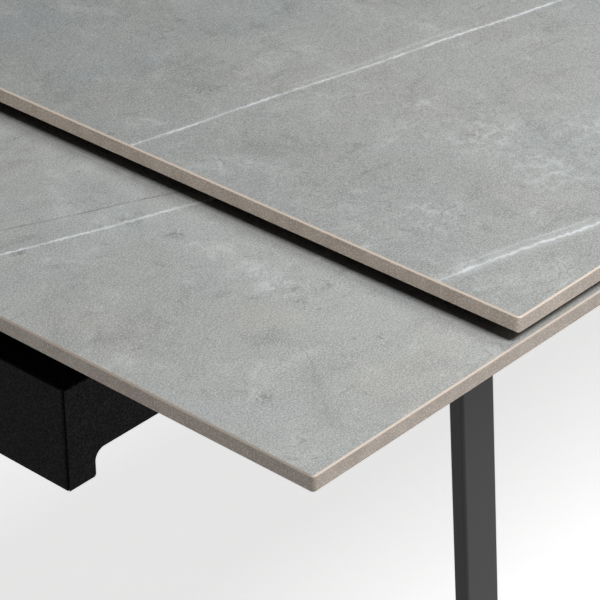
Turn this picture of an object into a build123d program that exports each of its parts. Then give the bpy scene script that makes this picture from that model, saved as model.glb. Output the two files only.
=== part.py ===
"""Extendable dining table: a fixed stone top over two stone leaves that slide out from under its ends.

Frame: millimetres, +X along the table, +Y across it, +Z up, origin on the floor under the table's centre.
The table is modelled with both leaves pulled part of the way out, by REST_OUT.
Ends are named left (-X) and right (+X), sides are named front (-Y) and back (+Y).
Every piece is drawn at the right end and the back side, and mirrored to the others.
"""

from build123d import *
import os

# ---- driving dimensions ----
TOP_LENGTH = 1600.0
TOP_WIDTH = 900.0
TABLE_HEIGHT = 760.0
SLAB = 12.0  # thickness of the top and of the leaves
LEAF_LENGTH = 500.0
LEAF_GAP = 7.0  # free height between the top and a leaf
REST_OUT = 191.0  # how far each leaf is pulled out as modelled
CHAMFER = 1.0  # arris on the slabs
SLAB_CORNER = 3.0

# ---- heights, worked down from the top ----
TOP_UNDER = TABLE_HEIGHT - SLAB
LEAF_TOP = TOP_UNDER - LEAF_GAP
LEAF_UNDER = LEAF_TOP - SLAB
PLATE = 3.0  # backing plate bonded under the top
PAD = 3.0  # rubber pads between a leaf and its tubes
FLAT_W, FLAT_H, WALL = 40.0, 20.0, 2.0  # flat tube under the slabs
BOARD_HEIGHT = 59.0
LIP_HEIGHT = 78.5  # the pull board reaches lower than the side boards
BOARD_TOP = LEAF_UNDER - PAD - FLAT_H
BOARD_UNDER = BOARD_TOP - BOARD_HEIGHT
LIP_UNDER = BOARD_TOP - LIP_HEIGHT
FRAME_TOP = TOP_UNDER - PLATE - FLAT_H

# ---- the leaf's wooden carriage ----
LEAF_EDGE = TOP_LENGTH / 2 + REST_OUT
BOARD = 25.0  # board thickness
BOARD_INSET = 3.0  # behind the leaf's edge
BOARD_Y = 237.0  # outer face of the side boards
BOARD_LENGTH = 492.0
BOARD_OUT = LEAF_EDGE - BOARD_INSET
BOARD_IN = BOARD_OUT - BOARD_LENGTH
LIP_FILLET = 8.0
LIP_EASE = 2.5
BOARD_EASE = 1.5
SEAM_W, SEAM_D = 0.45, 1.6  # shadow groove at the mitre

# ---- the steel frame ----
SIDE_Y, SIDE_W, SIDE_H = 391.0, 25.0, 40.0  # outer face and section of the side rails
SIDE_END = 785.0
INNER_Y, INNER_W, INNER_H = 250.0, 25.0, 60.0  # inner face and section of the inner rails
INNER_END = 767.0
INNER_TOP = FRAME_TOP - FLAT_H
YOKE_W, YOKE_H = 25.0, 15.0
LINK = 25.0
CROSS_X = 240.0
BEARER_Y = 300.0
BEARER_LENGTH = 570.0
TUBE_R, TUBE_INSIDE_R = 2.5, 1.0
CAP, CAP_EASE, PLUG = 3.0, 1.0, 12.0
PLATE_INSET, PLATE_CORNER = 25.0, 10.0

# ---- legs ----
LEG_X, LEG_W, LEG_T = 781.0, 34.0, 12.0  # outer end face, then section along X and Y
LEG_TOP_Y, LEG_FOOT_Y = 391.0, 434.0  # outer face at the top plate and at the floor
LEG_PLATE, LEG_PLATE_CORNER = 5.0, 2.0
LEG_PLATE_IN = 700.0
LEG_BOLTS_X = (712.0, 736.0)
FOOT_H, FOOT_PLUG, FOOT_EASE = 6.0, 22.0, 1.2
LEG_TOP = FRAME_TOP - SIDE_H - LEG_PLATE
LEG_LEAN = (LEG_TOP_Y - LEG_FOOT_Y) / LEG_TOP  # Y gained per unit of height

# ---- telescopic slides ----
SLIDE_LENGTH = 400.0
SLIDE_IN = 305.0  # inner end when closed
SLIDE_Z = (BOARD_TOP + BOARD_UNDER) / 2
SLIDE_HALF = 22.5
SLIDE_HOLES = (35.0, 365.0)
SHEET = 1.3
MEMBER_GAP, BALL_GAP = 1.0, 0.4  # between the webs, and between the flanges
OUTER_MOUTH, MIDDLE_MOUTH, INNER_RELIEF = 1.5, 3.0, 0.2

# ---- fasteners and small parts ----
M6_R, M6_HEAD_R, M6_HEAD_H, M6_HEAD_CHAMFER = 3.0, 5.0, 4.0, 0.6
M6_IN_NUT = 8.0
SCREW_R, SCREW_HEAD_R, SCREW_HEAD_H = 2.0, 4.2, 2.2
SCREW_LENGTH = 18.0  # in the board
RIVET_R, RIVET_HEAD_R, RIVET_HEAD_H, RIVET_TAIL = 2.0, 4.0, 0.7, 3.0
RIVET_NUT_R, RIVET_NUT_H = 4.5, 9.0
HOLE_CLEAR = 0.1
PAST = 1.0  # how far a cutting solid runs past the face that it opens
TIP_CLEAR = 1.0  # free depth in a board beyond a screw's tip
DRIVER_CLEAR = 1.0  # round a screw head, for the driver
STOP_R, STOP_H, STOP_EASE, STOP_Y = 6.0, 4.7, 1.2, 150.0
BUTTON_R, BUTTON_CLEAR, BUTTON_X = 8.0, 0.3, 770.0
BUTTON_YS = (-350.0, -120.0, 120.0, 350.0)
LEAF_TUBES = {"outer": 30.0, "middle": 228.0, "inner": 425.0}  # tube's outer face behind the leaf's edge
LEAF_TUBE_LENGTH = 700.0
PAD_YS = (-315.0, -160.0, 0.0, 160.0, 315.0)
PAD_L, PAD_W, PAD_CORNER = 60.0, 30.0, 4.0

ENDS = ("left", "right")
SIDES = ("front", "back")


def to_end(shape, end):
    return shape if end == "right" else mirror(shape, about=Plane.YZ)


def to_side(shape, side):
    return shape if side == "back" else mirror(shape, about=Plane.XZ)


def block(x, y, z):
    """A box from its low and high x, y and z."""
    size = [high - low for low, high in (x, y, z)]
    centre = [(high + low) / 2 for low, high in (x, y, z)]
    return Pos(*centre) * Box(*size)


def box_tube(length, width, height):
    """A rounded box tube along X, centred on the origin, with its width along Y."""
    outside = Plane.YZ * RectangleRounded(width, height, TUBE_R)
    inside = Plane.YZ * RectangleRounded(width - 2 * WALL, height - 2 * WALL, TUBE_INSIDE_R)
    return extrude(outside - inside, amount=length / 2, both=True)


def tube_cap(width, height):
    """A plastic cap for a box tube along X: its flange reaches from x=0 outwards, its plug inwards."""
    flange = extrude(Plane.YZ * RectangleRounded(width, height, TUBE_R), amount=CAP)
    rim = flange.faces().sort_by(Axis.X)[-1].edges()
    flange = fillet(rim, CAP_EASE)
    play = 2 * (WALL + HOLE_CLEAR)
    plug = extrude(Plane.YZ * RectangleRounded(width - play, height - play, TUBE_INSIDE_R), amount=-PLUG)
    return flange + plug


def slab(x_low, x_high, z_top):
    """A stone slab with rounded corners and a chamfered arris all round."""
    body = block((x_low, x_high), (-TOP_WIDTH / 2, TOP_WIDTH / 2), (z_top - SLAB, z_top))
    body = fillet(body.edges().filter_by(Axis.Z), SLAB_CORNER)
    rims = body.faces().sort_by(Axis.Z)
    return chamfer(rims[-1].edges() + rims[0].edges(), CHAMFER)


def upright(radius, height, x, y, z):
    """A cylinder standing on z."""
    return Pos(x, y, z + height / 2) * Cylinder(radius, height)


# ---- the fixed top ----
def main_top():
    return slab(-TOP_LENGTH / 2, TOP_LENGTH / 2, TABLE_HEIGHT)


def top_backing_plate():
    x, y = TOP_LENGTH / 2 - PLATE_INSET, TOP_WIDTH / 2 - PLATE_INSET
    plate = block((-x, x), (-y, y), (TOP_UNDER - PLATE, TOP_UNDER))
    return fillet(plate.edges().filter_by(Axis.Z), PLATE_CORNER)


def top_glide_buttons():
    """Low-friction buttons under the backing plate, which keep a pushed-up leaf off it."""
    height = LEAF_GAP - PLATE - BUTTON_CLEAR
    z = LEAF_TOP + BUTTON_CLEAR
    return [upright(BUTTON_R, height, s * BUTTON_X, y, z) for s in (-1, 1) for y in BUTTON_YS]


def top_bearer():
    """A flat tube along the table's middle, between the closed leaves, that carries the top."""
    return Pos(0, BEARER_Y, FRAME_TOP + FLAT_H / 2) * box_tube(BEARER_LENGTH, FLAT_W, FLAT_H)


# ---- the steel frame ----
def cross_beam():
    length = 2 * (SIDE_Y - SIDE_W)
    return Pos(CROSS_X, 0, FRAME_TOP - FLAT_H / 2) * Rot(0, 0, 90) * box_tube(length, FLAT_W, FLAT_H)


def side_rail():
    rail = box_tube(2 * SIDE_END, SIDE_W, SIDE_H)
    rail = Pos(0, SIDE_Y - SIDE_W / 2, FRAME_TOP - SIDE_H / 2) * rail
    for x, y in leg_bolt_places():
        for s in (-1, 1):
            rail -= Pos(s * x, y, FRAME_TOP - SIDE_H) * Cylinder(M6_R + HOLE_CLEAR, 4 * WALL)
    return rail


def inner_rail():
    rail = box_tube(2 * INNER_END, INNER_W, INNER_H)
    rail = Pos(0, INNER_Y + INNER_W / 2, INNER_TOP - INNER_H / 2) * rail
    for x in rivet_places():
        for s in (-1, 1):
            rail -= cross_pin(RIVET_R + HOLE_CLEAR, s * x, SLIDE_Z, INNER_Y - PAST, INNER_Y + 2 * WALL)
    return rail


def end_link():
    low, high = INNER_Y + INNER_W, SIDE_Y - SIDE_W
    link = Rot(0, 0, 90) * box_tube(high - low, LINK, LINK)
    return Pos(INNER_END - LINK / 2, (low + high) / 2, INNER_TOP - LINK / 2) * link


def yoke_bar():
    bar = Rot(0, 0, 90) * box_tube(2 * (INNER_Y + INNER_W), YOKE_W, YOKE_H)
    return Pos(INNER_END - YOKE_W / 2, 0, INNER_TOP - INNER_H - YOKE_H / 2) * bar


def closed_stop():
    """A rubber buffer on the yoke bar, which the pull board's lip meets when the leaf is closed."""
    stop = Rot(0, 90, 0) * Cylinder(STOP_R, STOP_H)
    stop = fillet(stop.edges().sort_by(Axis.X)[-1], STOP_EASE)
    return Pos(INNER_END + STOP_H / 2, STOP_Y, INNER_TOP - INNER_H - YOKE_H / 2) * stop


# ---- legs ----
def leg_bolt_places():
    return [(x, SIDE_Y - SIDE_W / 2) for x in LEG_BOLTS_X]


def leg_prism(width, thickness, radius, z_low, z_high):
    """A prism that leans as the leg does, with a level section."""
    y = LEG_FOOT_Y - LEG_T / 2 + LEG_LEAN * z_low
    section = Pos(LEG_X - LEG_W / 2, y, z_low) * RectangleRounded(width, thickness, radius)
    along = Vector(0, LEG_LEAN, 1)
    return extrude(section, amount=(z_high - z_low) * along.length, dir=along)


def leg():
    """A slanted flat tube, welded at its top to a plate that bolts under the side rail."""
    post = leg_prism(LEG_W, LEG_T, TUBE_R, FOOT_H, LEG_TOP)
    post -= leg_prism(LEG_W - 2 * WALL, LEG_T - 2 * WALL, TUBE_INSIDE_R, FOOT_H - PAST, LEG_TOP + PAST)
    plate = block((LEG_PLATE_IN, SIDE_END), (SIDE_Y - SIDE_W, SIDE_Y), (LEG_TOP, LEG_TOP + LEG_PLATE))
    plate = fillet(plate.edges().filter_by(Axis.Z), LEG_PLATE_CORNER)
    for x, y in leg_bolt_places():
        plate -= Pos(x, y, LEG_TOP) * Cylinder(M6_R + HOLE_CLEAR, 4 * LEG_PLATE)
    return post + plate


def leg_bolt(x, y):
    """An M6 hexagon bolt that holds the leg's plate up to the side rail."""
    head = extrude(Pos(x, y, LEG_TOP - M6_HEAD_H) * RegularPolygon(M6_HEAD_R, 6), amount=M6_HEAD_H)
    head = chamfer(head.faces().sort_by(Axis.Z)[0].edges(), M6_HEAD_CHAMFER)
    return head + upright(M6_R, LEG_PLATE + WALL + M6_IN_NUT, x, y, LEG_TOP)


def rivet_nut(x, y):
    """The threaded insert inside the side rail that a leg bolt screws into."""
    z = LEG_TOP + LEG_PLATE + WALL
    return upright(RIVET_NUT_R, RIVET_NUT_H, x, y, z) - upright(M6_R + HOLE_CLEAR, RIVET_NUT_H, x, y, z)


def foot_glide():
    """A plastic foot with a plug that fits up the leg's tube."""
    base = leg_prism(LEG_W, LEG_T, TUBE_R, 0, FOOT_H)
    base = fillet(base.faces().sort_by(Axis.Z)[0].edges(), FOOT_EASE)
    play = 2 * (WALL + HOLE_CLEAR)
    return base + leg_prism(LEG_W - play, LEG_T - play, TUBE_INSIDE_R, FOOT_H, FOOT_H + FOOT_PLUG)


# ---- telescopic slides, between a side board and an inner rail ----
def cross_pin(radius, x, z, y_low, y_high):
    """A cylinder along Y."""
    return Pos(x, (y_low + y_high) / 2, z) * Rot(90, 0, 0) * Cylinder(radius, y_high - y_low)


def channel(x_in, back, mouth, half_height):
    """A sheet-steel channel along X: its web lies on y=back and its flanges reach to y=mouth."""
    x = (x_in, x_in + SLIDE_LENGTH)
    towards = 1 if mouth > back else -1
    web = sorted((back, back + towards * SHEET))
    flange = sorted((back, mouth))
    body = block(x, web, (SLIDE_Z - half_height, SLIDE_Z + half_height))
    body += block(x, flange, (SLIDE_Z + half_height - SHEET, SLIDE_Z + half_height))
    body += block(x, flange, (SLIDE_Z - half_height, SLIDE_Z - half_height + SHEET))
    return body


def rivet_places():
    return [SLIDE_IN + along for along in SLIDE_HOLES]


def slide_outer_member():
    member = channel(SLIDE_IN, INNER_Y, BOARD_Y + OUTER_MOUTH, SLIDE_HALF)
    for x in rivet_places():
        member -= cross_pin(RIVET_R + HOLE_CLEAR, x, SLIDE_Z, INNER_Y - 2 * SHEET, INNER_Y + PAST)
    return member


def slide_middle_member():
    back = INNER_Y - SHEET - MEMBER_GAP
    half = SLIDE_HALF - SHEET - BALL_GAP
    return channel(SLIDE_IN + REST_OUT / 2, back, BOARD_Y + MIDDLE_MOUTH, half)


def slide_inner_member():
    half = SLIDE_HALF - 2 * (SHEET + BALL_GAP)
    mouth = INNER_Y - 2 * (SHEET + MEMBER_GAP) + INNER_RELIEF
    member = channel(SLIDE_IN + REST_OUT, BOARD_Y, mouth, half)
    for x in slide_screw_places():
        member -= cross_pin(SCREW_R + HOLE_CLEAR, x, SLIDE_Z, BOARD_Y - PAST, BOARD_Y + 2 * SHEET)
    return member


def slide_rivet(x):
    """A flat-headed rivet that holds the outer member to the inner rail."""
    web = INNER_Y - SHEET
    head = cross_pin(RIVET_HEAD_R, x, SLIDE_Z, web - RIVET_HEAD_H, web)
    return head + cross_pin(RIVET_R, x, SLIDE_Z, web, INNER_Y + WALL + RIVET_TAIL)


# ---- a leaf and its carriage ----
def leaf():
    return slab(LEAF_EDGE - LEAF_LENGTH, LEAF_EDGE, LEAF_TOP)


def leaf_tube_centre(offset):
    return LEAF_EDGE - offset - FLAT_W / 2


def screw_y():
    return BOARD_Y - BOARD / 2


def leaf_tube(offset):
    """A flat tube across the carriage, with screw holes below and driver holes above."""
    tube = Rot(0, 0, 90) * box_tube(LEAF_TUBE_LENGTH, FLAT_W, FLAT_H)
    tube = Pos(leaf_tube_centre(offset), 0, BOARD_TOP + FLAT_H / 2) * tube
    for y in (-screw_y(), screw_y()):
        x = leaf_tube_centre(offset)
        tube -= upright(SCREW_R + HOLE_CLEAR, 2 * WALL, x, y, BOARD_TOP - WALL / 2)
        tube -= upright(SCREW_HEAD_R + DRIVER_CLEAR, 2 * WALL, x, y, BOARD_TOP + FLAT_H - 1.5 * WALL)
    return tube


def leaf_tube_caps():
    caps = []
    for offset in LEAF_TUBES.values():
        for turn, y in ((90, LEAF_TUBE_LENGTH / 2), (-90, -LEAF_TUBE_LENGTH / 2)):
            place = Pos(leaf_tube_centre(offset), y, BOARD_TOP + FLAT_H / 2) * Rot(0, 0, turn)
            caps.append(place * tube_cap(FLAT_W, FLAT_H))
    return caps


def leaf_pads():
    pads = []
    for offset in LEAF_TUBES.values():
        for y in PAD_YS:
            pad = Box(PAD_W, PAD_L, PAD)
            pad = fillet(pad.edges().filter_by(Axis.Z), PAD_CORNER)
            pads.append(Pos(leaf_tube_centre(offset), y, LEAF_UNDER - PAD / 2) * pad)
    return pads


def mitre_seam(side):
    """The shadow groove down a carriage corner, cut half into each of the two boards."""
    depth = 2 * SEAM_D
    groove = Rot(0, 0, 45 * side) * Box(depth, SEAM_W, 2 * TABLE_HEIGHT)
    return Pos(BOARD_OUT, side * BOARD_Y, 0) * groove


def pull_board():
    """The board across the carriage's outer end, mitred at both ends, with a lip to pull by."""
    x_in = BOARD_OUT - BOARD
    y_in = BOARD_Y - BOARD
    plan = Polyline((BOARD_OUT, -BOARD_Y), (BOARD_OUT, BOARD_Y), (x_in, y_in), (x_in, -y_in), close=True)
    board = extrude(Pos(0, 0, LIP_UNDER) * make_face(plan), amount=BOARD_TOP - LIP_UNDER)
    lip_heel = board.edges().filter_by(Axis.Y).group_by(Axis.Z)[0].sort_by(Axis.X)[0]
    board = fillet(lip_heel, LIP_EASE)
    board = fillet(board.faces().sort_by(Axis.X)[-1].edges(), BOARD_EASE)
    return board - mitre_seam(1) - mitre_seam(-1)


def step_edges(board):
    """The edges across a side board where it steps down to the lip, lowest first."""
    x_lip = BOARD_OUT - BOARD
    across = board.edges().filter_by(Axis.Y)
    return across.filter_by_position(Axis.X, x_lip - PAST, x_lip + PAST).sort_by(Axis.Z)


def side_board():
    """A side board: its outer end drops to the lip's depth and is mitred to the pull board."""
    x_lip = BOARD_OUT - BOARD
    low = (BOARD_IN, BOARD_UNDER), (x_lip, BOARD_UNDER), (x_lip, LIP_UNDER), (BOARD_OUT, LIP_UNDER)
    high = (BOARD_OUT, BOARD_TOP), (BOARD_IN, BOARD_TOP)
    outline = make_face(Plane.XZ * Polyline(*low, *high, close=True))
    board = Pos(0, BOARD_Y, 0) * extrude(outline, amount=BOARD)
    board = fillet(step_edges(board)[-1], LIP_FILLET)
    board = fillet(step_edges(board)[0], LIP_EASE)
    board = fillet(board.faces().sort_by(Axis.Y)[-1].edges(), BOARD_EASE)
    board = split(board, bisect_by=mitre_plane(), keep=Keep.TOP)
    board -= mitre_seam(1)
    hole_r, hole_depth = SCREW_R + HOLE_CLEAR, SCREW_LENGTH + TIP_CLEAR
    for offset in LEAF_TUBES.values():
        board -= upright(hole_r, hole_depth, leaf_tube_centre(offset), screw_y(), BOARD_TOP - hole_depth)
    for x in slide_screw_places():
        board -= cross_pin(hole_r, x, SLIDE_Z, BOARD_Y - hole_depth, BOARD_Y)
    return board


def mitre_plane():
    """The 45 degree plane where a side board meets the pull board, facing the side board."""
    return Plane(origin=(BOARD_OUT, BOARD_Y, 0), z_dir=(-1, 1, 0))


def slide_screw_places():
    return [SLIDE_IN + REST_OUT + along for along in SLIDE_HOLES]


def carriage_screws():
    """Wood screws: down through the flat tubes, and across through the slides."""
    screws = []
    for offset in LEAF_TUBES.values():
        x = leaf_tube_centre(offset)
        shank_foot = BOARD_TOP - SCREW_LENGTH
        for y in (-screw_y(), screw_y()):
            shank = upright(SCREW_R, WALL + SCREW_LENGTH, x, y, shank_foot)
            screws.append(shank + upright(SCREW_HEAD_R, SCREW_HEAD_H, x, y, BOARD_TOP + WALL))
    for x in slide_screw_places():
        web = BOARD_Y + SHEET
        screw = cross_pin(SCREW_R, x, SLIDE_Z, BOARD_Y - SCREW_LENGTH, web)
        screw += cross_pin(SCREW_HEAD_R, x, SLIDE_Z, web, web + SCREW_HEAD_H)
        screws += [screw, to_side(screw, "front")]
    return screws


# ---- all the pieces ----
def every_corner(shape):
    return [to_side(to_end(shape, end), side) for end in ENDS for side in SIDES]


def rail_caps():
    """Caps in the open ends of the side rails and the inner rails."""
    side = Pos(SIDE_END, SIDE_Y - SIDE_W / 2, FRAME_TOP - SIDE_H / 2) * tube_cap(SIDE_W, SIDE_H)
    inner = Pos(INNER_END, INNER_Y + INNER_W / 2, INNER_TOP - INNER_H / 2) * tube_cap(INNER_W, INNER_H)
    return {"side_rail_caps": every_corner(side), "inner_rail_caps": every_corner(inner)}


def top_pieces():
    pieces = {
        "main_top": [main_top()],
        "top_backing_plate": [top_backing_plate()],
        "top_glide_buttons": top_glide_buttons(),
    }
    for side in SIDES:
        pieces["top_bearer_" + side] = [to_side(top_bearer(), side)]
    return pieces


def frame_pieces():
    pieces = rail_caps()
    for side in SIDES:
        pieces["side_rail_" + side] = [to_side(side_rail(), side)]
        pieces["inner_rail_" + side] = [to_side(inner_rail(), side)]
    for end in ENDS:
        pieces["cross_beam_" + end] = [to_end(cross_beam(), end)]
        pieces["yoke_bar_" + end] = [to_end(yoke_bar(), end)]
        for side in SIDES:
            pieces["end_link_" + end + "_" + side] = [to_side(to_end(end_link(), end), side)]
    pieces["closed_stops"] = every_corner(closed_stop())
    return pieces


def leg_pieces():
    pieces = {}
    for end in ENDS:
        for side in SIDES:
            pieces["leg_" + end + "_" + side] = [to_side(to_end(leg(), end), side)]
    pieces["foot_glides"] = every_corner(foot_glide())
    pieces["leg_bolts"] = []
    pieces["rivet_nuts"] = []
    for x, y in leg_bolt_places():
        pieces["leg_bolts"] += every_corner(leg_bolt(x, y))
        pieces["rivet_nuts"] += every_corner(rivet_nut(x, y))
    return pieces


def slide_pieces():
    pieces = {"slide_rivets": []}
    for x in rivet_places():
        pieces["slide_rivets"] += every_corner(slide_rivet(x))
    members = {
        "outer": slide_outer_member(),
        "middle": slide_middle_member(),
        "inner": slide_inner_member(),
    }
    for name, member in members.items():
        for end in ENDS:
            for side in SIDES:
                node = "slide_" + name + "_" + end + "_" + side
                pieces[node] = [to_side(to_end(member, end), side)]
    return pieces


def leaf_pieces():
    pieces = {}
    for end in ENDS:
        groups = {
            "leaf_": [leaf()],
            "leaf_pads_": leaf_pads(),
            "leaf_tube_caps_": leaf_tube_caps(),
            "pull_board_": [pull_board()],
            "carriage_screws_": carriage_screws(),
        }
        for name, offset in LEAF_TUBES.items():
            groups["leaf_tube_" + name + "_"] = [leaf_tube(offset)]
        for name, shapes in groups.items():
            pieces[name + end] = [to_end(shape, end) for shape in shapes]
        for side in SIDES:
            pieces["side_board_" + end + "_" + side] = [to_side(to_end(side_board(), end), side)]
    return pieces


def save(node, solids):
    shape = solids[0] if len(solids) == 1 else Compound(children=solids)
    shape.label = node
    export_step(shape, "parts/" + node + ".step")


os.makedirs("parts", exist_ok=True)
for pieces in (top_pieces(), frame_pieces(), leg_pieces(), slide_pieces(), leaf_pieces()):
    for node, solids in pieces.items():
        save(node, solids)
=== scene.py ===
"""Looks for the extendable dining table: materials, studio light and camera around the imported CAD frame.

Units are metres in the row frame: +X along the table, +Y across it, +Z up from the floor.
"""

import math

import bpy
from mathutils import Matrix, Vector

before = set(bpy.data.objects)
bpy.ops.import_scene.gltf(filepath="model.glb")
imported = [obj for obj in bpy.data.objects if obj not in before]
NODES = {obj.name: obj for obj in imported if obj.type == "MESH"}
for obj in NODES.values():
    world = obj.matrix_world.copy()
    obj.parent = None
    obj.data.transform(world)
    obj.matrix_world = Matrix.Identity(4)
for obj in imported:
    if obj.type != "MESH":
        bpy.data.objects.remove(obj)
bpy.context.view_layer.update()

# ---- colours, linear ----
STONE = (0.335, 0.344, 0.336)
STONE_DARK = (0.275, 0.283, 0.276)
STONE_PALE = (0.395, 0.406, 0.396)
STONE_WARM = (0.352, 0.343, 0.312)
STONE_COOL = (0.318, 0.342, 0.358)
GRAIN_PALE = (0.50, 0.512, 0.50)
GRAIN_DARK = (0.205, 0.212, 0.206)
VEIN_WHITE = (0.59, 0.615, 0.63)
VEIN_DARK = (0.125, 0.122, 0.108)
BODY = (0.262, 0.225, 0.190)
BODY_DARK = (0.216, 0.182, 0.152)
BODY_GRAIN = (0.138, 0.119, 0.099)
# a paler beige: on the top arris a painted highlight, in the body a real pale grain
PALE_GRAIN_AND_ARRIS_HIGHLIGHT = (0.50, 0.425, 0.36)
POWDER = (0.017, 0.017, 0.018)
POWDER_PALE = (0.021, 0.021, 0.022)
POWDER_SPECK = (0.036, 0.036, 0.037)
PAINT = (0.005, 0.005, 0.005)
PAINT_PALE = (0.007, 0.007, 0.007)
PAINT_SPECK = (0.017, 0.017, 0.017)
PAINT_DARK = (0.001, 0.001, 0.001)
PLASTIC = (0.022, 0.022, 0.023)
PLASTIC_SPARK = (0.034, 0.034, 0.035)
RUBBER = (0.013, 0.013, 0.013)
RUBBER_DUST = (0.030, 0.030, 0.029)
ZINC = (0.62, 0.63, 0.64)
ZINC_ROLLED = (0.50, 0.51, 0.53)
ZINC_SPANGLE = (0.72, 0.71, 0.68)
DARK_ZINC = (0.12, 0.12, 0.125)
DARK_ZINC_BLOT = (0.22, 0.22, 0.225)
PAPER = (0.86, 0.86, 0.86)
PAPER_FIBRE = (0.88, 0.88, 0.88)
BLACK = (0.0, 0.0, 0.0)

# ---- strengths and ratios ----
TOP_PAINTED_SHADE = 0.84  # painted shade: the top slab's stone is painted darker than its leaves', standing in for the lesser light on it
CRACK_WARP = 0.8  # how fine the pattern that bends the crazing is, next to its cells
HALO = 0.30  # how strong the haze beside a vein is, next to the vein itself
PAPER_GLOW = 0.88  # the paper glows a little by itself, so that it stays pale under the table
WORLD_LIGHT = 0.008

# ---- lengths, metres ----
VEIN_FADE = 0.04  # a vein comes in and dies out over about this length
CRACK_BEND = 0.05  # how far the crazing's lines are pushed about
FLOOR_SIZE = 180.0
BACKDROP_RADIUS = 80.0
BACKDROP_HEIGHT = 5.0


# ---- small node-tree helpers ----
class Tree:
    """A material's node tree, with short ways to add and join nodes."""

    def __init__(self, name):
        self.material = bpy.data.materials.new(name)
        self.material.use_nodes = True
        self.tree = self.material.node_tree
        self.shader = self.tree.nodes["Principled BSDF"]
        coords = self.tree.nodes.new("ShaderNodeTexCoord")
        self.place = coords.outputs["Object"]

    def new(self, kind, **settings):
        """A new node of the given kind, with its settings."""
        node = self.tree.nodes.new(kind)
        for name, value in settings.items():
            setattr(node, name, value)
        return node

    def put(self, socket, value):
        """Joins an output to the socket, or sets a plain value on it."""
        if isinstance(value, bpy.types.NodeSocket):
            self.tree.links.new(value, socket)
        elif isinstance(value, tuple) and len(value) == 3 and socket.type == "RGBA":
            socket.default_value = (*value, 1.0)
        else:
            socket.default_value = value

    def math(self, operation, a, b=0.0):
        node = self.new("ShaderNodeMath", operation=operation)
        self.put(node.inputs[0], a)
        self.put(node.inputs[1], b)
        return node.outputs[0]

    def plus(self, a, b):
        return self.math("ADD", a, b)

    def minus(self, a, b):
        return self.math("SUBTRACT", a, b)

    def times(self, a, b):
        return self.math("MULTIPLY", a, b)

    def mix(self, factor, a, b):
        """From colour a at factor 0 to colour b at 1; inputs 6, 7 and output 2 are the colour ones."""
        node = self.new("ShaderNodeMix", data_type="RGBA")
        self.put(node.inputs[0], factor)
        self.put(node.inputs[6], a)
        self.put(node.inputs[7], b)
        return node.outputs[2]

    def noise(self, scale, detail, roughness, stretch=(1, 1, 1), turn=0.0, distortion=0.0):
        """A cloudy pattern round 0.5; scale is about how many clouds there are in a metre."""
        mapping = self.new("ShaderNodeMapping")
        mapping.inputs["Scale"].default_value = stretch
        mapping.inputs["Rotation"].default_value = (0, 0, turn)
        self.put(mapping.inputs["Vector"], self.place)
        node = self.new("ShaderNodeTexNoise")
        self.put(node.inputs["Vector"], mapping.outputs[0])
        node.inputs["Scale"].default_value = scale
        node.inputs["Detail"].default_value = detail
        node.inputs["Roughness"].default_value = roughness
        node.inputs["Distortion"].default_value = distortion
        return node.outputs[0]

    def step(self, value, low, high):
        """0 below low, 1 above high, smooth between; reversed when low is above high."""
        node = self.new("ShaderNodeMapRange", interpolation_type="SMOOTHSTEP")
        self.put(node.inputs["Value"], value)
        node.inputs["From Min"].default_value = min(low, high)
        node.inputs["From Max"].default_value = max(low, high)
        node.inputs["To Min"].default_value = 0.0 if low < high else 1.0
        node.inputs["To Max"].default_value = 1.0 if low < high else 0.0
        return node.outputs[0]

    def amount(self, value, low, high, most):
        """As step, but rising only to most."""
        return self.times(self.step(value, low, high), most)

    def cracks(self, scale, mask):
        """Hair-thin crazing lines, shown only where the mask is high."""
        bent = self.new("ShaderNodeVectorMath", operation="MULTIPLY_ADD")
        warp = self.new("ShaderNodeTexNoise")
        warp.inputs["Scale"].default_value = scale * CRACK_WARP
        self.put(warp.inputs["Vector"], self.place)
        self.put(bent.inputs[0], warp.outputs["Color"])
        bent.inputs[1].default_value = (CRACK_BEND, CRACK_BEND, 0.0)
        self.put(bent.inputs[2], self.place)
        cells = self.new("ShaderNodeTexVoronoi", feature="DISTANCE_TO_EDGE")
        cells.inputs["Scale"].default_value = scale
        self.put(cells.inputs["Vector"], bent.outputs[0])
        # the cells are about 1 / scale across, and a line is a small share of that
        line = self.step(cells.outputs["Distance"], 0.022, 0.004)
        return self.times(line, self.step(mask, 0.52, 0.66))

    def normal(self):
        """The face's own normal, without any bump."""
        return self.new("ShaderNodeNewGeometry").outputs["True Normal"]

    def axes(self, vector):
        """A vector's x, y and z."""
        node = self.new("ShaderNodeSeparateXYZ")
        self.put(node.inputs[0], vector)
        return node.outputs

    def bump(self, height, strength, distance):
        """A bumpy normal from a height pattern; distance is its depth in metres."""
        node = self.new("ShaderNodeBump")
        node.inputs["Strength"].default_value = strength
        node.inputs["Distance"].default_value = distance
        self.put(node.inputs["Height"], height)
        return node.outputs[0]

    def finish(self, colour, roughness, normal, metallic=0.0, specular=0.5):
        """Joins everything to the shader and returns the material."""
        self.put(self.shader.inputs["Base Color"], colour)
        self.put(self.shader.inputs["Roughness"], roughness)
        self.put(self.shader.inputs["Metallic"], metallic)
        self.put(self.shader.inputs["Specular IOR Level"], specular)
        self.put(self.shader.inputs["Normal"], normal)
        return self.material


# ---- stone ----
class Vein:
    """A nearly straight vein on a slab's face, from one point to another, in metres."""

    def __init__(self, start, end, width, strength, colour, wander=0.004, haze=0.0):
        self.start = start
        self.end = end
        self.width = width
        self.strength = strength
        self.colour = colour
        self.wander = wander
        self.haze = haze


def vein_places(tree, vein):
    """How far each point is along the vein and aside of it, and the vein's length."""
    x, y, _ = tree.axes(tree.place)
    x0, y0 = vein.start
    dx, dy = vein.end[0] - x0, vein.end[1] - y0
    length = math.hypot(dx, dy)
    ux, uy = dx / length, dy / length
    from_x = tree.minus(x, x0)
    from_y = tree.minus(y, y0)
    along = tree.plus(tree.times(from_x, ux), tree.times(from_y, uy))
    aside = tree.minus(tree.times(from_y, ux), tree.times(from_x, uy))
    return along, aside, length


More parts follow.
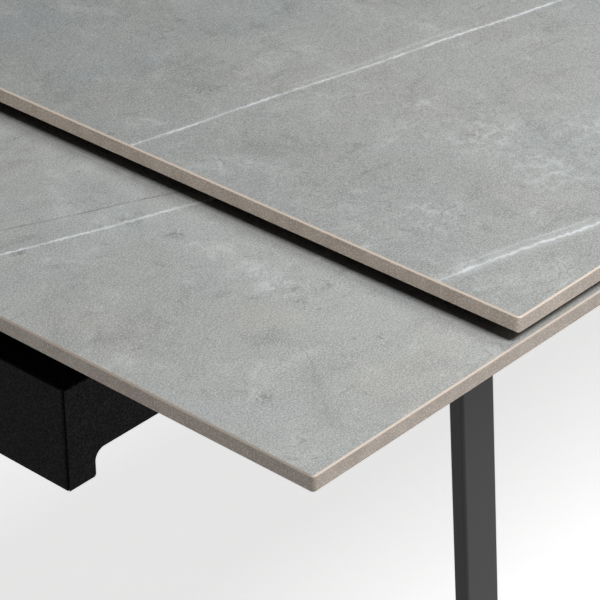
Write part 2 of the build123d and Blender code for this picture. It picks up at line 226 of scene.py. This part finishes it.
def vein_mask(tree, vein, wobble, jitter, breakup):
    """How strongly a vein shows at each point: thin, wavering, and broken up along its length."""
    along, aside, length = vein_places(tree, vein)
    wave = tree.times(tree.minus(wobble, 0.5), vein.wander * 4)
    fray = tree.times(tree.minus(jitter, 0.5), vein.width * 4)
    off = tree.math("ABSOLUTE", tree.plus(aside, tree.plus(wave, fray)))
    line = tree.step(off, vein.width * 1.5, vein.width * 0.3)
    if vein.haze:
        halo = tree.times(tree.step(off, vein.haze, 0.0), HALO)
        line = tree.math("MAXIMUM", line, halo)
    coming_in = tree.step(along, -VEIN_FADE / 2, VEIN_FADE)
    dying_out = tree.step(along, length, length - 2 * VEIN_FADE)
    ends = tree.times(coming_in, dying_out)
    body = tree.times(tree.times(line, ends), breakup)
    return tree.times(body, vein.strength)


def smudge_mask(tree, centre, radius, ragged, strength):
    """A ragged patch round a point."""
    x, y, _ = tree.axes(tree.place)
    from_x = tree.minus(x, centre[0])
    from_y = tree.minus(y, centre[1])
    square = tree.plus(tree.math("POWER", from_x, 2.0), tree.math("POWER", from_y, 2.0))
    near = tree.step(tree.math("SQRT", square), radius, 0.0)
    return tree.times(tree.times(near, ragged), strength)


def mottled_face(tree, patch, grain):
    """A slab's face without its marks: tints, clouds, streaks and grain, then crazing and pits."""
    cloud = tree.noise(3.2, 5.0, 0.60)
    tint = tree.noise(8.5, 4.0, 0.6)
    blotch = tree.noise(48.0, 6.0, 0.70, distortion=0.8)
    streak = tree.noise(11.0, 6.0, 0.65, stretch=(1.0, 3.2, 1.0), turn=0.25)
    scratch = tree.noise(70.0, 4.0, 0.6, stretch=(0.22, 1.6, 1.0), turn=0.7)
    speck = tree.noise(480.0, 3.0, 0.7)
    pits = tree.noise(150.0, 2.0, 0.5)
    craze = tree.cracks(26.0, patch)
    nicks = tree.cracks(44.0, streak)

    face = tree.mix(tree.step(cloud, 0.30, 0.70), STONE_DARK, STONE_PALE)
    face = tree.mix(0.5, face, STONE)
    face = tree.mix(tree.amount(tint, 0.50, 0.66, 0.38), face, STONE_WARM)
    face = tree.mix(tree.amount(tint, 0.50, 0.34, 0.45), face, STONE_COOL)
    # each pattern's pale and dark parts: where they begin, where they are full, how strong
    for pattern, pale, dark in (
        (patch, (0.52, 0.72, 0.60), (0.48, 0.28, 0.65)),
        (blotch, (0.55, 0.75, 0.60), (0.46, 0.26, 0.70)),
        (streak, (0.56, 0.78, 0.45), (0.44, 0.25, 0.45)),
        (scratch, (0.64, 0.78, 0.60), (0.37, 0.24, 0.60)),
        (speck, (0.58, 0.72, 0.40), (0.44, 0.28, 0.50)),
        (grain, (0.51, 0.68, 0.75), (0.49, 0.32, 0.80)),
    ):
        face = tree.mix(tree.amount(pattern, *pale), face, GRAIN_PALE)
        face = tree.mix(tree.amount(pattern, *dark), face, GRAIN_DARK)
    face = tree.mix(tree.times(craze, 0.25), face, VEIN_WHITE)
    face = tree.mix(tree.times(nicks, 0.45), face, VEIN_DARK)
    return tree.mix(tree.amount(pits, 0.70, 0.78, 0.45), face, VEIN_DARK)


def smudged(tree, face, pale_smudges, dark_smudges):
    """The face with chalky smudges and dark stains, each ragged in its own way."""
    crust = tree.step(tree.noise(95.0, 6.0, 0.8, distortion=0.6), 0.48, 0.60)
    stain = tree.step(tree.noise(210.0, 3.0, 0.7), 0.47, 0.60)
    for centre, radius in pale_smudges:
        face = tree.mix(smudge_mask(tree, centre, radius, crust, 0.45), face, VEIN_WHITE)
    for centre, radius in dark_smudges:
        face = tree.mix(smudge_mask(tree, centre, radius, stain, 0.60), face, VEIN_DARK)
    return face


def veined(tree, face, veins):
    """The face with its veins; all of them waver, fray and break up by the same three patterns."""
    wobble = tree.noise(9.0, 3.0, 0.5)
    jitter = tree.noise(260.0, 3.0, 0.7)
    whole = tree.step(tree.noise(38.0, 3.0, 0.6), 0.35, 0.60)
    breakup = tree.plus(tree.times(whole, 0.5), 0.5)
    for vein in veins:
        face = tree.mix(vein_mask(tree, vein, wobble, jitter, breakup), face, vein.colour)
    return face


def stone_body(tree):
    """The slab's beige body, seen on its sawn sides and underneath."""
    body = tree.mix(tree.step(tree.noise(60.0, 5.0, 0.6), 0.35, 0.65), BODY_DARK, BODY)
    body_grain = tree.noise(760.0, 2.0, 0.6)
    # the body's pale grain uses the same colour as the arris's painted highlight
    body = tree.mix(tree.amount(body_grain, 0.51, 0.68, 0.50), body, PALE_GRAIN_AND_ARRIS_HIGHLIGHT)
    return tree.mix(tree.amount(body_grain, 0.49, 0.32, 0.50), body, BODY_GRAIN)


def stone(name, veins, pale_smudges, dark_smudges, shade):
    """A slab's stone; shade is how bright its face is painted beside the palest slab's, a painted shade
    that stands in for less light on it.
    """
    tree = Tree(name)
    patch = tree.noise(16.0, 7.0, 0.70, distortion=0.5)
    grain = tree.noise(880.0, 2.0, 0.6)
    face = mottled_face(tree, patch, grain)
    face = smudged(tree, face, pale_smudges, dark_smudges)
    # painted shade: the whole face is darkened by the shade share, standing in for less light on this slab
    face = tree.mix(1.0 - shade, face, BLACK)
    face = veined(tree, face, veins)

    # the face looks straight up; the top arris, ground at 45 degrees, is painted paler than the body, a
    # painted highlight for the light it catches
    up = tree.axes(tree.normal())[2]
    side = tree.mix(tree.step(up, 0.3, 0.5), stone_body(tree), PALE_GRAIN_AND_ARRIS_HIGHLIGHT)
    colour = tree.mix(tree.step(up, 0.90, 0.98), side, face)
    rough = tree.plus(tree.times(patch, 0.16), 0.40)
    relief = tree.plus(tree.times(grain, 0.4), tree.times(patch, 0.6))
    return tree.finish(colour, rough, tree.bump(relief, 0.12, 0.0004), specular=0.42)


# ---- other materials ----
def powder_coat():
    """The satin black powder coat of the steel frame: pebbled, with paler specks."""
    tree = Tree("black_powder_coat")
    pebble = tree.noise(1400.0, 2.0, 0.5)
    broad = tree.noise(6.0, 3.0, 0.5)
    colour = tree.mix(tree.step(broad, 0.3, 0.7), POWDER, POWDER_PALE)
    colour = tree.mix(tree.amount(pebble, 0.55, 0.75, 0.35), colour, POWDER_SPECK)
    rough = tree.plus(tree.times(pebble, 0.20), 0.38)
    return tree.finish(colour, rough, tree.bump(pebble, 0.35, 0.00012), specular=0.18)


def painted_wood():
    """The nearly black paint of the pull boards and side boards, with a fine orange peel."""
    tree = Tree("black_painted_wood")
    blotch = tree.noise(55.0, 5.0, 0.65)
    peel = tree.noise(800.0, 2.0, 0.6)
    grain = tree.noise(24.0, 4.0, 0.6, stretch=(1, 1, 9))
    colour = tree.mix(tree.step(blotch, 0.35, 0.68), PAINT, PAINT_PALE)
    colour = tree.mix(tree.amount(peel, 0.50, 0.66, 0.8), colour, PAINT_SPECK)
    colour = tree.mix(tree.amount(peel, 0.50, 0.34, 0.8), colour, PAINT_DARK)
    rough = tree.plus(tree.times(blotch, 0.22), 0.42)
    relief = tree.plus(tree.times(peel, 0.5), tree.times(grain, 0.5))
    return tree.finish(colour, rough, tree.bump(relief, 0.30, 0.0003), specular=0.02)


def plastic():
    """Black plastic for caps, buttons and glides."""
    tree = Tree("black_plastic")
    spark = tree.noise(1100.0, 3.0, 0.6)
    colour = tree.mix(tree.step(spark, 0.4, 0.7), PLASTIC, PLASTIC_SPARK)
    rough = tree.plus(tree.times(spark, 0.18), 0.46)
    return tree.finish(colour, rough, tree.bump(spark, 0.30, 0.0001), specular=0.4)


def rubber():
    """Black rubber for pads and stops, with a little dust."""
    tree = Tree("black_rubber")
    dust = tree.noise(140.0, 5.0, 0.65)
    colour = tree.mix(tree.step(dust, 0.45, 0.75), RUBBER, RUBBER_DUST)
    rough = tree.plus(tree.times(dust, 0.15), 0.70)
    return tree.finish(colour, rough, tree.bump(dust, 0.25, 0.0002), specular=0.25)


def zinc():
    """The bright zinc plate of the slides, rolled along their length."""
    tree = Tree("zinc_steel")
    rolled = tree.noise(60.0, 4.0, 0.6, stretch=(0.06, 1, 4))
    spangle = tree.noise(120.0, 3.0, 0.6)
    colour = tree.mix(tree.step(rolled, 0.3, 0.7), ZINC_ROLLED, ZINC)
    colour = tree.mix(tree.amount(spangle, 0.5, 0.75, 0.35), colour, ZINC_SPANGLE)
    rough = tree.plus(tree.times(rolled, 0.22), 0.24)
    return tree.finish(colour, rough, tree.bump(rolled, 0.20, 0.0001), metallic=1.0)


def fastener():
    """Dark zinc plate for screws, bolts and rivets."""
    tree = Tree("fastener_steel")
    blot = tree.noise(420.0, 4.0, 0.6)
    colour = tree.mix(tree.step(blot, 0.35, 0.7), DARK_ZINC, DARK_ZINC_BLOT)
    rough = tree.plus(tree.times(blot, 0.2), 0.32)
    return tree.finish(colour, rough, tree.bump(blot, 0.25, 0.00008), metallic=1.0)


def floor_paper():
    """The pale studio paper of the floor and the backdrop."""
    tree = Tree("floor_paper")
    fibre = tree.noise(35.0, 4.0, 0.6)
    colour = tree.mix(tree.step(fibre, 0.3, 0.7), PAPER, PAPER_FIBRE)
    tree.put(tree.shader.inputs["Emission Color"], PAPER)
    tree.put(tree.shader.inputs["Emission Strength"], PAPER_GLOW)
    return tree.finish(colour, 0.9, tree.bump(fibre, 0.05, 0.001), specular=0.1)


# ---- veins and marks, where they lie on the slabs at rest ----
# a vein: from, to, width, strength, colour, wander and haze; a smudge: centre, radius
TOP_VEINS = [
    Vein((-0.830, -0.105), (0.10, -0.300), 0.0011, 0.95, VEIN_WHITE, 0.0015, haze=0.004),
    Vein((-0.660, -0.134), (-0.46, -0.175), 0.0009, 0.35, VEIN_WHITE, 0.0030, haze=0.007),
    Vein((-0.850, -0.371), (-0.33, -0.500), 0.0015, 0.80, VEIN_WHITE, 0.004, haze=0.008),
    Vein((-0.790, -0.379), (-0.50, -0.451), 0.0009, 0.35, VEIN_WHITE, 0.003, haze=0.004),
    Vein((-0.35, 0.30), (0.52, -0.12), 0.0010, 0.85, VEIN_WHITE, 0.006),
    Vein((0.10, 0.46), (0.82, 0.02), 0.0014, 0.70, VEIN_WHITE, 0.008, haze=0.008),
    Vein((-0.85, 0.34), (-0.20, 0.18), 0.0009, 0.75, VEIN_WHITE, 0.004),
    Vein((0.22, -0.46), (0.80, -0.26), 0.0012, 0.60, VEIN_DARK, 0.010),
]
TOP_PALE = [
    ((-0.780, -0.175), 0.022),
    ((-0.771, -0.188), 0.016),
    ((-0.619, -0.221), 0.020),
    ((-0.628, -0.285), 0.060),
    ((-0.573, -0.334), 0.045),
    ((-0.738, -0.327), 0.045),
    ((-0.640, -0.352), 0.050),
    ((0.34, 0.10), 0.08),
    ((0.55, -0.20), 0.06),
]
TOP_DARK = [((-0.55, -0.38), 0.035), ((-0.05, 0.12), 0.04), ((0.62, 0.28), 0.035)]

LEAF_VEINS = [
    Vein((-1.000, -0.106), (-0.52, -0.282), 0.0012, 0.95, VEIN_WHITE, 0.0015),
    Vein((-0.935, -0.096), (-0.62, -0.245), 0.0008, 0.60, VEIN_DARK, 0.003),
    Vein((-0.90, 0.40), (-0.52, 0.20), 0.0010, 0.70, VEIN_WHITE, 0.005),
]
LEAF_PALE = [
    ((-0.841, -0.272), 0.018),
    ((-0.848, -0.289), 0.022),
    ((-0.850, -0.300), 0.014),
    ((-0.88, 0.22), 0.04),
]
LEAF_DARK = [
    ((-0.844, -0.303), 0.008),
    ((-0.826, -0.313), 0.009),
    ((-0.851, -0.314), 0.008),
    ((-0.835, -0.313), 0.008),
    ((-0.847, -0.041), 0.010),
    ((-0.929, -0.137), 0.010),
    ((-0.844, -0.196), 0.012),
    ((-0.950, -0.372), 0.012),
    ((-0.849, -0.383), 0.010),
    ((-0.957, -0.276), 0.010),
    ((-0.90, 0.12), 0.014),
]


def turned(points):
    """The same marks half a turn round, for the slab at the other end."""
    return [((-x, -y), radius) for (x, y), radius in points]


def turned_veins(veins):
    """The same veins half a turn round."""
    made = []
    for vein in veins:
        start = (-vein.start[0], -vein.start[1])
        end = (-vein.end[0], -vein.end[1])
        made.append(Vein(start, end, vein.width, vein.strength, vein.colour, vein.wander, vein.haze))
    return made


def dress(material, *starts):
    """Gives the material to every piece whose name begins with one of these."""
    for name, node in NODES.items():
        if name.startswith(starts):
            node.data.materials.clear()
            node.data.materials.append(material)


def dress_all():
    """Dresses every piece; a piece that matches twice keeps its later material."""
    dress(powder_coat(), "side_rail_", "inner_rail_", "cross_beam_", "yoke_bar_", "end_link_", "leg_")
    dress(powder_coat(), "top_bearer_", "top_backing_plate", "leaf_tube_")
    dress(stone("top_stone", TOP_VEINS, TOP_PALE, TOP_DARK, TOP_PAINTED_SHADE), "main_top")
    dress(stone("left_leaf_stone", LEAF_VEINS, LEAF_PALE, LEAF_DARK, 1.0), "leaf_left")
    right = stone("right_leaf_stone", turned_veins(LEAF_VEINS), turned(LEAF_PALE), turned(LEAF_DARK), 1.0)
    dress(right, "leaf_right")
    dress(painted_wood(), "pull_board_", "side_board_")
    dress(
        plastic(),
        "foot_glides",
        "side_rail_caps",
        "inner_rail_caps",
        "top_glide_buttons",
        "leaf_tube_caps_",
    )
    dress(rubber(), "leaf_pads_", "closed_stops")
    dress(zinc(), "slide_outer_", "slide_middle_", "slide_inner_")
    dress(fastener(), "carriage_screws_", "leg_bolts", "rivet_nuts", "slide_rivets")


# ---- stage, light and camera ----
def add_floor():
    """The paper that the table stands on."""
    bpy.ops.mesh.primitive_plane_add(size=FLOOR_SIZE, location=(0, 0, 0))
    floor = bpy.context.object
    floor.name = "floor"
    floor.data.materials.append(floor_paper())
    return floor


def add_backdrop(paper):
    """A far, low ring of the same paper, so that level views end in pale paper too."""
    bpy.ops.mesh.primitive_cylinder_add(
        vertices=96,
        radius=BACKDROP_RADIUS,
        depth=BACKDROP_HEIGHT,
        end_fill_type="NOTHING",
        location=(0, 0, BACKDROP_HEIGHT / 2),
    )
    backdrop = bpy.context.object
    backdrop.name = "backdrop"
    backdrop.data.materials.append(paper)


def aim(thing, target):
    """Turns a light so that it shines at the target."""
    direction = Vector(target) - thing.location
    thing.rotation_euler = direction.to_track_quat("-Z", "Y").to_euler()


def below(place):
    """The point on the floor straight under a place."""
    return (place[0], place[1], 0.0)


def area_light(name, place, target, width, height, power):
    """A rectangular light of that many watts; lengths in metres."""
    data = bpy.data.lights.new(name, "AREA")
    data.shape = "RECTANGLE"
    data.size = width
    data.size_y = height
    data.energy = power
    light = bpy.data.objects.new(name, data)
    bpy.context.scene.collection.objects.link(light)
    light.location = place
    aim(light, target)
    return light


def light_only(light, names):
    """Keeps the light off everything but the named pieces."""
    lit = bpy.data.collections.new(light.name + "_lit")
    for name in names:
        lit.objects.link(bpy.data.objects[name])
    light.light_linking.receiver_collection = lit


def add_world():
    """A faint white light from everywhere."""
    world = bpy.data.worlds.new("studio")
    bpy.context.scene.world = world
    world.use_nodes = True
    background = world.node_tree.nodes["Background"]
    background.inputs["Color"].default_value = (1, 1, 1, 1)
    background.inputs["Strength"].default_value = WORLD_LIGHT


OVERHEAD_PLACE = (-0.51, -1.50, 2.45)
FAR_FILL_PLACE = (0.90, -0.10, 3.0)
LEVEL_END_PLACE = (-4.6, -1.2, 0.85)
LEVEL_END_TARGET = (-0.8, -0.2, 0.75)  # on the top slab's end edge


def add_lights():
    """Two soft boxes that shine straight down, and a level one for the top slab's end edge."""
    area_light("overhead", OVERHEAD_PLACE, below(OVERHEAD_PLACE), 0.58, 0.9, 57.0)
    area_light("far_fill", FAR_FILL_PLACE, below(FAR_FILL_PLACE), 1.4, 1.4, 46.0)
    level_end = area_light("level_end", LEVEL_END_PLACE, LEVEL_END_TARGET, 2.4, 0.4, 118.0)
    light_only(level_end, ["main_top"])


# found by fitting the table's corners to where they are in the photo; metres, degrees, millimetres
CAMERA_PLACE = (-1.9505, -1.3093, 1.6485)
CAMERA_AZIMUTH, CAMERA_ELEVATION, CAMERA_ROLL = -47.841, 31.455, 0.382
CAMERA_LENS, CAMERA_SENSOR = 163.95, 36.0


def add_camera():
    """The photo's view: an azimuth of 0 looks along +Y, and the elevation is how far it looks down."""
    data = bpy.data.cameras.new("camera")
    data.lens = CAMERA_LENS
    data.sensor_width = CAMERA_SENSOR
    data.clip_start = 0.05
    data.clip_end = FLOOR_SIZE
    camera = bpy.data.objects.new("camera", data)
    bpy.context.scene.collection.objects.link(camera)
    bpy.context.scene.camera = camera
    azimuth, elevation = math.radians(CAMERA_AZIMUTH), math.radians(CAMERA_ELEVATION)
    level = math.cos(elevation)
    forward = Vector((-math.sin(azimuth) * level, math.cos(azimuth) * level, -math.sin(elevation)))
    look = forward.to_track_quat("-Z", "Y").to_matrix().to_4x4()
    roll = Matrix.Rotation(math.radians(-CAMERA_ROLL), 4, "Z")
    camera.matrix_world = Matrix.Translation(CAMERA_PLACE) @ look @ roll


def set_tone():
    """Plain colours, with no film look."""
    settings = bpy.context.scene.view_settings
    settings.view_transform = "Standard"
    settings.look = "None"
    settings.exposure = 0.0


dress_all()
floor = add_floor()
add_backdrop(floor.data.materials[0])
add_world()
add_lights()
add_camera()
set_tone()
